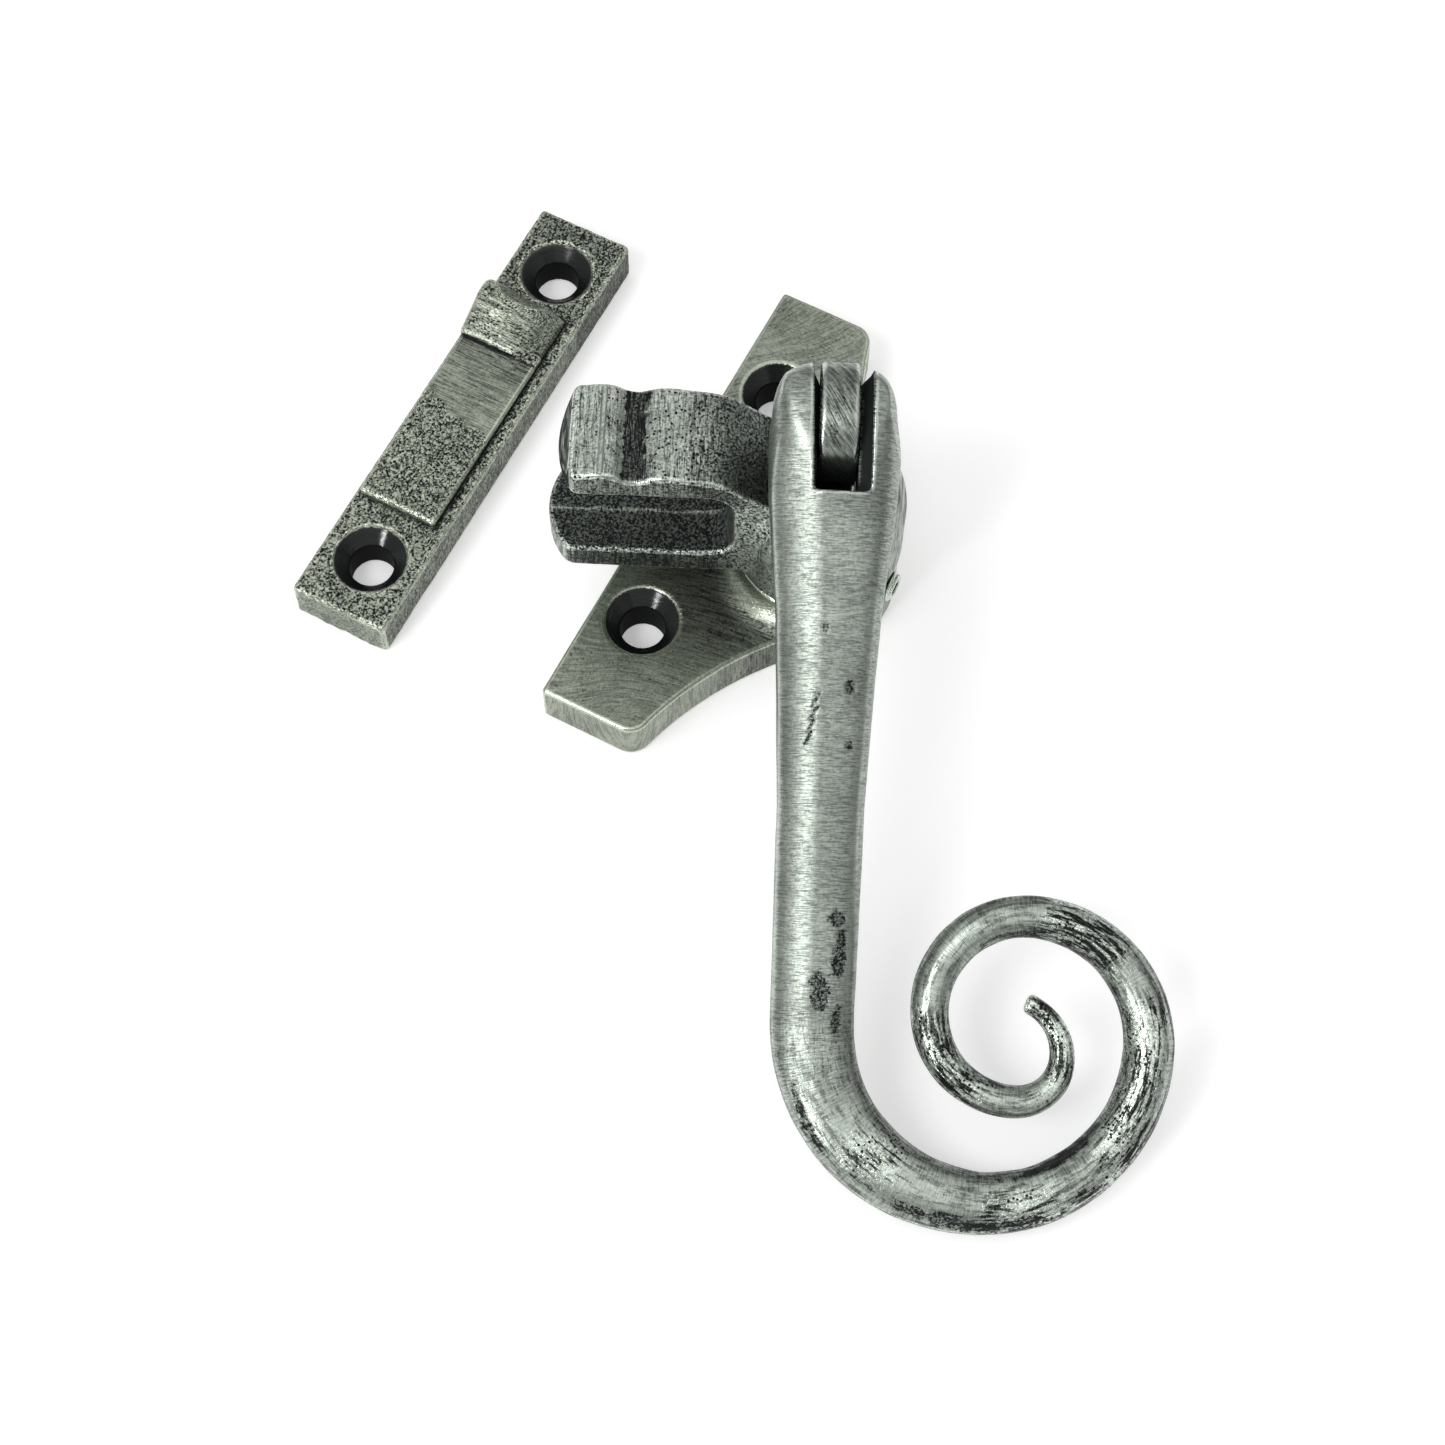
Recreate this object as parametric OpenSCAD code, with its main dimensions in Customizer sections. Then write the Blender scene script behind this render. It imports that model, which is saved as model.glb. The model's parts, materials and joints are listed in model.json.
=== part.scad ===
// Casement window fastener with a curled hinged handle, a forked night-vent nose,
// a locking grub screw and a separate hook plate.
// Origin: on the nose pivot's axis, at the plate's mounting face.
// +Z leaves the window frame, +Y runs along the plate, +X leads away from the hook plate.

/* [Base plate] */
// Length of the base plate
plate_len = 65; // [60:1:75]
// Thickness of the base plate
plate_thick = 6.6; // [5.5:0.1:8]
// Distance from the pivot to the plate's straight edge
plate_reach = 21.07; // [20.5:0.1:24]
// Radius of the hollow sweep from each end to the boss
plate_sweep_r = 46; // [42:1:50]
// Radius of the pivot boss
boss_r = 10.15; // [9.8:0.05:11]
// Height of the pivot boss
boss_top = 10.3; // [9.8:0.1:11.5]
// Distance of the screw holes from the pivot, across the plate
plate_hole_x = 14.7; // [14:0.1:15.5]
// Distance between the base plate's screw holes
plate_hole_gap = 36.7; // [34:0.1:42]

/* [Screw holes] */
// Radius of the straight part of a screw hole
screw_r = 2.8; // [2.2:0.1:3]
// Radius of a countersink at the face
sink_r = 4.7; // [4.2:0.1:4.8]

/* [Hook plate] */
// Length of the hook plate
hook_len = 64; // [60:1:70]
// Width of the hook plate
hook_width = 13.1; // [12.5:0.1:14]
// Thickness of the hook plate's bar
hook_thick = 5.8; // [5:0.1:7]
// Distance between the hook plate's screw holes
hook_hole_gap = 47.8; // [46:0.1:50]
// Height of the worn striking face above the bar
strike_rise = 1.2; // [0.8:0.1:1.8]
// Height of the stop lump above the bar
stop_rise = 4; // [3:0.1:4.4]

/* [Nose] */
// Reach of the lower finger from the pivot
low_reach = 32.8; // [30:0.1:35]
// Reach of the upper finger from the pivot
high_reach = 31; // [29:0.1:33]
// Width of the nose
nose_width = 12.6; // [11.5:0.1:13]
// Underside of the lower finger
low_bottom = 12.8; // [12.5:0.1:13.5]
// Underside of the night-vent slot
slot_bottom = 17; // [16.5:0.1:18]
// Top of the night-vent slot
slot_top = 30.2; // [29:0.1:30.6]
// Top of the upper finger
nose_top = 34.2; // [33.6:0.1:35]

/* [Handle] */
// Width of the handle's head
head_width = 15; // [14:0.1:16]
// Radius of the knuckle
knuckle_r = 6.6; // [6:0.1:6.8]
// Straight length from the hinge pin to the curl
stem_len = 68.2; // [60:1:80]
// Size of every radius in the curl
curl_scale = 1; // [0.9:0.01:1.1]

/* [Pose] */
// Turn of the nose and handle from the closed position
arm_turn = 25.2; // [0:0.1:90]
// Droop of the handle below level
droop = 23.1; // [0:0.1:23.4]
// Distance from the pivot to the middle of the hook plate
hook_away = 48.9; // [28.6:0.1:60]

/* [Hidden] */
$fn = 96;
eps = 0.01;
plate_end = plate_len / 2;
corner_r = 2;
// Gap left between faces that slide on each other
face_gap = 0.03;
// Gap left round a running shaft
shaft_gap = 0.05;

// Hollow sweep: its centre lies where it touches the boss and passes the plate's end corner
sweep_far = plate_sweep_r + boss_r;
sweep_past = 9.9;
sweep_y = plate_end + sweep_past;
sweep_x = sqrt(sweep_far * sweep_far - sweep_y * sweep_y);
corner_y = plate_end - corner_r;
corner_far = plate_sweep_r + corner_r;
corner_x = sweep_x - sqrt(corner_far * corner_far - pow(sweep_y - corner_y, 2));
flare = boss_top - plate_thick;

// Pivot hardware, from the mounting face up
recess_r = 7.4;
recess_top = 3.7;
journal_r = 4;
tail_r = 3;
tail_top = 2.2;
washer_thick = 1;
washer_r = 6.9;
peen_r = 4.9;
peen_bottom = 0.3;
spring_thick = 0.55;
spring_r = 6.7;
thrust_thick = 0.5;
thrust_r = 10;
hub_bottom = boss_top + thrust_thick + 2 * face_gap;
hub_r = 10.4;
spindle_top = 25;

// Locking screw
lock_r = 2;
lock_z = 7;
lock_out = 0.8;
lock_tip = journal_r + 0.9;
lock_key = 2;

// Nose arm
tip_r = 9;
root_x = -10.3;
root_r = 3.6;
dome_foot = 18;
dome_rise = 10.5;
// 2 is an ellipse, and more is squarer
dome_power = 2.6;
shoulder_z = dome_foot + dome_rise;
pin_z = 38.6;
pin_r = 1.5;
knuckle_x = 1;
lug_width = 4.5;
lug_x = 1.3;
lug_half = 5.2;

// Handle
slot_width = 6.2;
slot_x = 0.85;
slot_end = 8.5;
pin_inset = 0.9;
neck_end = 14;
// Radii of the curl's quarter turns, from the stem inwards
curl_radii = [19.8, 18.4, 14.15, 10.8, 10.2, 5, 6.6];
last_turn = 75;
turn_step = 10;
ring_points = 16;
// Width of the bar against its length from the hinge pin
bar_widths = [[9, 14.6], [14, 13.8], [22, 12.1], [30, 11.2], [44, 10], [72, 9.5], [84, 8.7],
    [100, 6.9], [128, 5.8], [150, 4.8], [168, 4.4], [183, 3.8], [198, 2.3]];
// Thickness of the bar as a part of its width
bar_flatness = [[9, 0.74], [22, 0.75], [44, 0.84], [84, 0.86], [110, 0.95], [198, 1]];
// 2 is an ellipse, and more is squarer
bar_squareness = [[0, 3.2], [60, 2.8], [100, 2.3], [130, 2]];

steel = "#7d827f";
dark_steel = "#4d5250";

module screw_hole(top) {
    translate([0, 0, -eps]) cylinder(r = screw_r, h = top + 2 * eps, $fn = 48);
    translate([0, 0, top - (sink_r - screw_r)])
        cylinder(r1 = screw_r, r2 = sink_r + eps, h = sink_r - screw_r + eps, $fn = 48);
}

// Outline of the base plate: straight edge, two ends, hollow sweeps and the boss
module plate_outline() {
    difference() {
        translate([-plate_reach, -plate_end])
            square([plate_reach + sweep_x * boss_r / sweep_far, plate_len]);
        for (side = [-1, 1]) {
            translate([sweep_x, side * sweep_y]) circle(r = plate_sweep_r, $fn = 180);
            polygon([[corner_x, side * corner_y],
                [corner_x, side * (plate_end + 1)],
                [corner_x + 2 * corner_r, side * (plate_end + 1)],
                [corner_x + 2 * corner_r, side * (corner_y + corner_r * 0.55)]]);
        }
    }
    for (side = [-1, 1]) translate([corner_x, side * corner_y]) circle(r = corner_r, $fn = 48);
    circle(r = boss_r);
}

module base_plate() color(steel)
    difference() {
        union() {
            linear_extrude(plate_thick) plate_outline();
            cylinder(r = boss_r, h = boss_top);
            // Hollow flare between the boss and the plate
            intersection() {
                linear_extrude(boss_top) plate_outline();
                rotate_extrude() difference() {
                    translate([boss_r - 1, plate_thick - 1]) square([flare + 1, flare + 1]);
                    translate([boss_r + flare, boss_top]) circle(r = flare, $fn = 64);
                }
            }
        }
        for (side = [-1, 1]) translate([-plate_hole_x, side * plate_hole_gap / 2, 0])
            screw_hole(plate_thick);
        translate([0, 0, -eps]) cylinder(r = recess_r, h = recess_top + eps);
        cylinder(r = journal_r + shaft_gap, h = boss_top + 1);
        translate([0, 0, lock_z]) rotate([0, 90, 0]) cylinder(r = lock_r, h = boss_r + 1, $fn = 48);
    }

module washer(inner, outer, thick) difference() {
    cylinder(r = outer, h = thick);
    translate([0, 0, -eps]) cylinder(r = inner, h = thick + 2 * eps);
}

module thrust_washer() color(steel)
    translate([0, 0, boss_top + face_gap]) washer(journal_r + shaft_gap, thrust_r, thrust_thick);

// Dished spring, which presses the nose arm down on the boss
module spring_washer() color(dark_steel) {
    low = tail_top + 2 * face_gap;
    high = recess_top - face_gap - spring_thick;
    rotate_extrude() polygon([[journal_r + 0.3, high], [spring_r, low],
        [spring_r, low + spring_thick], [journal_r + 0.3, high + spring_thick]]);
}

module retaining_washer() color(dark_steel)
    translate([0, 0, tail_top - washer_thick]) washer(tail_r, washer_r, washer_thick);

// Shouldered pin: its tail is spread over the retaining washer, its top is pressed in the nose arm
module spindle() color(dark_steel) rotate([0, 0, arm_turn]) {
    translate([0, 0, peen_bottom])
        cylinder(r1 = peen_r - 0.5, r2 = peen_r, h = tail_top - washer_thick - peen_bottom);
    cylinder_between(tail_r, peen_bottom + eps, tail_top + eps);
    cylinder_between(journal_r, tail_top, spindle_top);
}

module cylinder_between(r, bottom, top) translate([0, 0, bottom]) cylinder(r = r, h = top - bottom);

module locking_screw() color(dark_steel) {
    out = boss_r + lock_out;
    translate([0, 0, lock_z]) rotate([0, 90, 0]) difference() {
        union() {
            cylinder_between(lock_r - shaft_gap, lock_tip + 0.5, out - 0.3);
            translate([0, 0, lock_tip]) cylinder(r1 = 1.2, r2 = lock_r - shaft_gap, h = 0.5, $fn = 48);
            translate([0, 0, out - 0.3]) cylinder(r1 = lock_r - shaft_gap, r2 = 1.6, h = 0.3, $fn = 48);
        }
        translate([0, 0, out - 2]) cylinder(d = lock_key / cos(30), h = 3, $fn = 6);
    }
}

// Side view of the fork: two fingers, the slot between them and the humped top
module fork_side() difference() {
    polygon([[-low_reach - 1, low_bottom], [0, low_bottom], [0, shoulder_z], [-6.4, shoulder_z],
        [-8.6, nose_top - 3.6], [-10.6, nose_top - 1.8], [-12.6, nose_top - 0.8], [-15, nose_top - 0.3],
        [-19.8, nose_top - 0.3], [-20.8, nose_top - 0.9], [-22.8, nose_top - 0.9],
        [-23.8, nose_top], [-29.2, nose_top], [-high_reach, nose_top - 2],
        [-high_reach - 3, slot_top - eps]]);
    translate([-low_reach - 2, slot_bottom])
        square([low_reach + 2 + root_x - root_r, slot_top - slot_bottom]);
    translate([root_x - root_r - eps, slot_bottom + root_r])
        square([root_r + eps, slot_top - slot_bottom - 2 * root_r]);
    for (z = [slot_bottom + root_r, slot_top - root_r])
        translate([root_x - root_r, z]) circle(r = root_r, $fn = 48);
}

// Plan of one finger, with its bowed tip
module finger_plan(reach) intersection() {
    translate([-reach, -nose_width / 2]) square([reach, nose_width]);
    union() {
        translate([tip_r - reach, 0]) circle(r = tip_r);
        translate([tip_r - reach, -nose_width / 2]) square([reach - tip_r, nose_width]);
    }
}

module nose_arm() color(steel) rotate([0, 0, arm_turn]) difference() {
    union() {
        intersection() {
            translate([0, nose_width / 2, 0]) rotate([90, 0, 0]) linear_extrude(nose_width) fork_side();
            union() {
                linear_extrude((slot_bottom + slot_top) / 2) finger_plan(low_reach);
                linear_extrude(nose_top + 1) finger_plan(high_reach);
            }
        }
        // Hub with a domed shoulder
        rotate_extrude() polygon([[0, hub_bottom], [hub_r, hub_bottom],
            for (a = [0 : 15 : 90]) [hub_r * pow(cos(a), 2 / dome_power),
                dome_foot + dome_rise * pow(sin(a), 2 / dome_power)]]);
        translate([lug_x - lug_width / 2, -lug_half, shoulder_z - 1])
            cube([lug_width, 2 * lug_half, pin_z - shoulder_z + 1]);
        translate([lug_x - lug_width / 2, 0, pin_z]) rotate([0, 90, 0])
            cylinder(r = knuckle_r, h = lug_width);
    }
    translate([0, 0, hub_bottom - eps]) cylinder(r = journal_r, h = spindle_top - hub_bottom + 2 * eps);
    translate([lug_x - lug_width, 0, pin_z]) rotate([0, 90, 0])
        cylinder(r = pin_r + shaft_gap, h = 2 * lug_width, $fn = 48);
}

// Puts its children on the hinge pin, where -Y runs down the handle
module at_knuckle() rotate([0, 0, arm_turn]) translate([knuckle_x, 0, pin_z]) children();

// Middle line of the bar: each entry is [x, y, heading from -Y towards +X, length so far]
function walk(radii, at) = len(radii) == 0 ? [at] :
    let (r = radii[0] * curl_scale, turn = len(radii) == 1 ? last_turn : 90,
        mid = [at[0] + r * cos(at[2]), at[1] + r * sin(at[2])],
        arc = [for (a = [0 : turn_step : turn - turn_step])
            [mid[0] - r * cos(at[2] + a), mid[1] - r * sin(at[2] + a), at[2] + a,
                at[3] + r * a * PI / 180]],
        end = at[2] + turn)
    concat(arc, walk([for (i = [1 : 1 : len(radii) - 1]) radii[i]],
        [mid[0] - r * cos(end), mid[1] - r * sin(end), end, at[3] + r * turn * PI / 180]));

stem_stops = [for (v = [neck_end - 0.6, each [neck_end + 4 : 8 : stem_len - 3]]) [0, -v, 0, v]];
bar_line = concat(stem_stops, walk(curl_radii, [0, -stem_len, 0, stem_len]));

// One rounded section of the bar
function ring(at) =
    let (wide = lookup(at[3], bar_widths) / 2, high = wide * lookup(at[3], bar_flatness),
        power = 2 / lookup(at[3], bar_squareness))
    [for (i = [0 : ring_points - 1])
        let (a = 360 * (i + 0.5) / ring_points,
            side = wide * sign(cos(a)) * pow(abs(cos(a)), power),
            up = high * sign(sin(a)) * pow(abs(sin(a)), power))
        [at[0] + side * cos(at[2]), at[1] + side * sin(at[2]), up]];

module curled_bar() {
    rings = len(bar_line);
    points = [for (at = bar_line) each ring(at)];
    sides = [for (k = [0 : rings - 2]) for (i = [0 : ring_points - 1])
        let (j = (i + 1) % ring_points, a = k * ring_points, b = a + ring_points)
        each [[a + i, b + j, a + j], [a + i, b + i, b + j]]];
    start = [for (i = [0 : ring_points - 1]) i];
    finish = [for (i = [ring_points - 1 : -1 : 0]) (rings - 1) * ring_points + i];
    polyhedron(points, concat([start], sides, [finish]));
}

// Lathe-shaped knuckle, bevelled towards its outer faces
module knuckle() translate([-head_width / 2, 0, 0]) rotate([0, 90, 0]) rotate_extrude()
    polygon([[0, 0], [knuckle_r - 1.8, 0], [knuckle_r - 0.6, 1.2], [knuckle_r, 3],
        [knuckle_r, head_width - 3], [knuckle_r - 0.6, head_width - 1.2],
        [knuckle_r - 1.8, head_width], [0, head_width]]);

module handle() color(steel) at_knuckle() rotate([droop, 0, 0]) {
    difference() {
        union() {
            knuckle();
            // Neck, with the section that the bar starts from
            translate([0, -2, 0]) rotate([90, 0, 0]) linear_extrude(neck_end - 2)
                polygon([for (p = ring([0, 0, 0, neck_end - 1])) [p[0], p[2]]]);
        }
        translate([slot_x - slot_width / 2, -slot_end, -2 * knuckle_r])
            cube([slot_width, slot_end + 2 * knuckle_r, 4 * knuckle_r]);
        translate([-head_width, 0, 0]) rotate([0, 90, 0])
            cylinder(r = pin_r, h = 2 * head_width, $fn = 48);
    }
    curled_bar();
}

module hinge_pin() color(dark_steel) at_knuckle()
    translate([-head_width / 2 + pin_inset, 0, 0]) rotate([0, 90, 0])
        cylinder(r = pin_r, h = head_width - 2 * pin_inset, $fn = 48);

// Hook plate, placed by the middle of its back face
hook_y = -2.3;
strike_low = -16.5;
step_y = 9.3;
stop_end = 17.9;
side_inset = 0.7;
chamfer_inset = 1.6;

module hook_plate() color(steel) translate([-hook_away, hook_y, 0]) difference() {
    union() {
        translate([-hook_width / 2, -hook_len / 2, 0]) cube([hook_width, hook_len, hook_thick]);
        strike_x = -hook_width / 2 + side_inset;
        strike_width = hook_width - side_inset - chamfer_inset;
        translate([strike_x, strike_low, 0])
            cube([strike_width, step_y - strike_low + 1, hook_thick + strike_rise]);
        // Stop lump: its crest slopes to the step, the far end and the side near the base plate
        intersection() {
            translate([strike_x, 0, 0]) rotate([90, 0, 90]) linear_extrude(strike_width)
                polygon([[step_y, 0], [step_y, hook_thick + strike_rise + 0.4],
                    [step_y + 4, hook_thick + stop_rise - 0.5],
                    [step_y + 6, hook_thick + stop_rise],
                    [stop_end - 1, hook_thick + stop_rise - 0.7],
                    [stop_end, hook_thick + 1], [stop_end, 0]]);
            translate([0, stop_end, 0]) rotate([90, 0, 0]) linear_extrude(stop_end - step_y)
                polygon([[strike_x, 0], [strike_x, hook_thick + stop_rise - 0.6],
                    [strike_x + 0.8, hook_thick + stop_rise],
                    [strike_x + strike_width * 0.55, hook_thick + stop_rise - 0.2],
                    [strike_x + strike_width - 1.5, hook_thick + strike_rise + 0.9],
                    [strike_x + strike_width, hook_thick], [strike_x + strike_width, 0]]);
        }
    }
    for (side = [-1, 1]) translate([0, side * hook_hole_gap / 2, 0]) screw_hole(hook_thick);
    // The upper countersink cuts a little way into the lump
    translate([0, hook_hole_gap / 2, hook_thick]) cylinder(r = sink_r, h = 2 * stop_rise, $fn = 48);
}

base_plate();
thrust_washer();
spring_washer();
retaining_washer();
locking_screw();
nose_arm();
spindle();
handle();
hinge_pin();
hook_plate();
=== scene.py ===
"""Looks of the casement window fastener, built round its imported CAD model.

The plates, the nose arm, the handle and the locking screw are each written as a field: a function that is
negative inside the metal, zero on its surface and positive outside, in millimetres. mesh_of() turns a field
into a mesh. The other pieces are the CAD model's own.
"""

import json
import math

import bpy
import numpy as np
from mathutils import Matrix, Quaternion, Vector


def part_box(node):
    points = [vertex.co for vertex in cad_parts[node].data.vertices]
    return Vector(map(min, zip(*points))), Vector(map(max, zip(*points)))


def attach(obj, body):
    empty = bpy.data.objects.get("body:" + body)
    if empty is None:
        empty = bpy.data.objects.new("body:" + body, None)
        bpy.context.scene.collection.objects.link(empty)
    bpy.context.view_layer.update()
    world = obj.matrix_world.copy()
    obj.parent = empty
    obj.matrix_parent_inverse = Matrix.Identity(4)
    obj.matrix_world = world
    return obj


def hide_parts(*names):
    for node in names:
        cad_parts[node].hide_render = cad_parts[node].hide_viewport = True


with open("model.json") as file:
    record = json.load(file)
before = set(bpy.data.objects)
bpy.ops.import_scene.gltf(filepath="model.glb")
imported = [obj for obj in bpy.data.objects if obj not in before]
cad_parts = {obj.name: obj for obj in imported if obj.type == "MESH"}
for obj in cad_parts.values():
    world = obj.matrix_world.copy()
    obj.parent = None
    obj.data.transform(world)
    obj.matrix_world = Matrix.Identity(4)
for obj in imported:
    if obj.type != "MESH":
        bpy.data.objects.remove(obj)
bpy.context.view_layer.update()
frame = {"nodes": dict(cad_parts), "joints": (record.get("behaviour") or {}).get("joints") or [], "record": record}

MM = 0.001
joints = {joint["name"]: joint for joint in frame["joints"]}
mounts = {mount["name"]: mount for mount in frame["record"]["mounts"]}


def box_mm(node):
    """Lowest and highest corner of a CAD node, in millimetres."""
    low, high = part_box(node)
    return np.array(low) / MM, np.array(high) / MM


# ---------------------------------------------------------------- sizes read from the frame
plate_low, plate_high = box_mm("base_plate")
hook_low, hook_high = box_mm("hook_plate")
washer_high = box_mm("thrust_washer")[1]
screw_low, screw_high = box_mm("locking_screw")
pin_place = Vector(joints["handle_lift"]["pos_m"])
across = -Vector(joints["handle_lift"]["axis"])
ARM_TURN = math.atan2(across.y, across.x)
KNUCKLE_X = pin_place.xy.length / MM
SCREW_R = mounts["plate_screws"]["dims"]["hole_r_mm"]
PLATE_HOLE_X = mounts["plate_screws"]["pos_m"][0] / MM
PLATE_HOLE_Y = mounts["plate_screws"]["dims"]["spacing_y_mm"] / 2
HOOK_HOLE_Y = mounts["hook_screws"]["dims"]["spacing_y_mm"] / 2

# ---------------------------------------------------------------- sizes in millimetres, as in the CAD model
SINK_R = 4.7
PLATE_THICK = 6.6
SWEEP_R = 46.0
SWEEP_PAST = 9.9
BOSS_R = 10.15
CORNER_R = 2.0
PLATE_EDGE, BOSS_EDGE, BACK_EDGE = 0.5, 0.45, 0.35
HOLE_EDGE, LOCK_EDGE = 0.2, 0.25
JOURNAL_R = 4.0
RUNNING_GAP = 0.05
RECESS_R = 7.4
RECESS_TOP = 3.7
HOOK_THICK = 5.8
STRIKE_RISE = 1.2
STOP_RISE = hook_high[2] - HOOK_THICK
NOSE_HALF = 6.3
HUB_R = 10.4
LUG_X = 1.3
LUG_HALF = 2.25
KNUCKLE_R = 6.6
PIN_R = 1.5
DROOP = math.radians(23.1)
# The handle's head is rounded about HEAD_ROUND and the pin, and widens by HEAD_OPENING per millimetre. Past
# HEAD_END the field stays WELL_INSIDE the rounding, which has no effect there.
HEAD_HALF = 7.5
HEAD_ROUND = (-0.4, -0.3)
HEAD_PROUD = 0.2
HEAD_OPENING = 0.3
HEAD_EDGE = 1.2
HEAD_END = -30.0
WELL_INSIDE = -9.0
# The rims of the head's slot lie at CHEEK_SLOT where it ends, and move aside by SLOT_SPREAD per millimetre.
# Its walls are SLOT_SNUG off the lug, and lean out to the rims between SLOT_LEAN distances from the pin.
SLOT_END = 8.5
CHEEK_SLOT = (-2.25, 4.15)
SLOT_SPREAD = (0.037, 0.015)
SLOT_SNUG = 0.1
SLOT_LEAN = (KNUCKLE_R - 2.8, KNUCKLE_R - 0.9)
SLOT_CORNER, SLOT_EDGE = 0.6, 0.25
# The handle's middle line: a straight stem, then quarter turns that tighten, and a last turn in degrees
STEM_LEN = 68.2
CURL_RADII = (19.8, 18.4, 14.15, 10.8, 10.2, 5.0, 6.6)
LAST_TURN = 75
TAIL_CUT, TAIL_EDGE = 0.6, 0.5
# Width of the bar, its thickness as a part of its width, and its squareness, where 2 is an ellipse, against
# its length from the pin
BAR_WIDTHS = ((0, 15.1), (4, 15.1), (9, 14.7), (14, 13.8), (22, 12.1), (30, 11.2), (44, 10), (72, 9.5),
              (84, 8.7), (100, 6.9), (128, 5.8), (150, 4.8), (168, 4.4), (183, 3.8), (198, 2.3))
BAR_FLATNESS = ((0, 0.9), (4, 0.86), (12, 0.75), (22, 0.75), (44, 0.84), (84, 0.86), (110, 0.95), (198, 1))
BAR_SQUARENESS = ((0, 3.0), (60, 3.0), (100, 2.4), (130, 2.0))
# The bevels down the stem: how their faces lean across and up, how far aside they start as a part of the
# half width, and how round their upper edge is
BEVELS = ((-0.454, 0.891, 0.18, 0.8), (0.643, 0.766, 0.5, 0.6))
# Where the bevels fade into the curl and into the head, from and to, and how far they sink back there
BEVEL_FADES = ((98, 128, 3), (9, -3, 1.5))
GRID, HANDLE_GRID, SCREW_GRID = 0.25, 0.27, 0.09


# ---------------------------------------------------------------- field tools
def joined(a, b, fillet):
    """Both solids, with a hollow fillet where they meet."""
    corner = np.hypot(np.maximum(fillet - a, 0), np.maximum(fillet - b, 0))
    return np.maximum(fillet, np.minimum(a, b)) - corner


def common(a, b, edge):
    """What two solids share, with a rounded edge."""
    return -joined(-a, -b, edge)


def without(a, b, edge):
    """Solid a less solid b, with a rounded edge."""
    return -joined(-a, b, edge)


def curve_through(places, values):
    """A smooth height curve through a few points, as a function."""
    places, values = np.array(places, float), np.array(values, float)
    slopes = np.gradient(values, places)

    def height(x):
        k = np.clip(np.searchsorted(places, x) - 1, 0, len(places) - 2)
        span = places[k + 1] - places[k]
        t = np.clip((x - places[k]) / span, 0, 1)
        start = (1 + 2 * t) * (1 - t) ** 2 * values[k] + t * (1 - t) ** 2 * span * slopes[k]
        end = t * t * (3 - 2 * t) * values[k + 1] + t * t * (t - 1) * span * slopes[k + 1]
        return start + end

    return height


def noise(points, size, seed):
    """Smooth random values from -1 to 1, with lumps of the given size in millimetres."""
    p = points / size + seed * 17.31
    cell = np.floor(p).astype(np.int64)
    t = p - cell
    t = t * t * (3 - 2 * t)
    total = 0
    for corner in np.ndindex(2, 2, 2):
        k = cell + corner
        h = (k[:, 0] * 73856093) ^ (k[:, 1] * 19349663) ^ (k[:, 2] * 83492791) ^ (seed * 2654435)
        h = (h ^ (h >> 13)) * 1274126177 & 0xFFFFFFFF
        share = np.prod(np.where(corner, t, 1 - t), axis=1)
        total = total + share * ((h & 0xFFFF) / 32767.5 - 1)
    return total


def step_up(value, start, end):
    """0 before start, 1 after end and smooth between them."""
    t = np.clip((value - start) / (end - start), 0, 1)
    return t * t * (3 - 2 * t)


def probe(field, points, reach):
    """Value, gradient and curvature of a field at points. The curvature is positive on an outside edge."""
    here = field(*points.T)
    slope = np.empty_like(points)
    bend = -6 * here
    for axis in range(3):
        step = reach * np.eye(3)[axis]
        ahead, behind = field(*(points + step).T), field(*(points - step).T)
        slope[:, axis] = (ahead - behind) / (2 * reach)
        bend = bend + ahead + behind
    return here, slope, bend / reach ** 2


def surface(field, low, high, step):
    """Points and quads of the surface where a field is zero, by surface nets."""
    axes = [np.arange(a - 2 * step, b + 3 * step, step) for a, b in zip(low, high)]
    shape = tuple(len(axis) for axis in axes)
    places = np.meshgrid(*axes, indexing="ij", sparse=True)
    values = np.broadcast_to(field(*places), shape).astype(np.float32)
    inside = values < 0
    corners = [inside[i:shape[0] - 1 + i, j:shape[1] - 1 + j, k:shape[2] - 1 + k]
               for i, j, k in np.ndindex(2, 2, 2)]
    count = sum(corner.astype(np.int8) for corner in corners)
    active = (count > 0) & (count < 8)
    cells = np.argwhere(active)
    number = np.full(active.shape, -1)
    number[tuple(cells.T)] = np.arange(len(cells))
    total, crossings = np.zeros((len(cells), 3)), np.zeros(len(cells))
    quads = []
    for axis in range(3):
        b, c = (axis + 1) % 3, (axis + 2) % 3
        along = np.eye(3, dtype=int)[axis]
        for i, j in np.ndindex(2, 2):
            near = cells + i * np.eye(3, dtype=int)[b] + j * np.eye(3, dtype=int)[c]
            v0, v1 = values[tuple(near.T)], values[tuple((near + along).T)]
            cut = (v0 < 0) != (v1 < 0)
            share = np.where(cut, v0 / np.where(cut, v0 - v1, 1), 0)
            total += cut[:, None] * (near + share[:, None] * along)
            crossings += cut
        first = np.take(inside, range(shape[axis] - 1), axis)
        edges = np.argwhere(first != np.take(inside, range(1, shape[axis]), axis))
        back_b, back_c = np.eye(3, dtype=int)[b], np.eye(3, dtype=int)[c]
        ring = [edges - back_b - back_c, edges - back_c, edges, edges - back_b]
        quad = np.stack([number[tuple(cell.T)] for cell in ring], axis=1)
        out = first[tuple(edges.T)]
        quads.append(np.where(out[:, None], quad, quad[:, ::-1]))
    origin = np.array([axis[0] for axis in axes])
    return origin + step * total / crossings[:, None], np.concatenate(quads)


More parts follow.
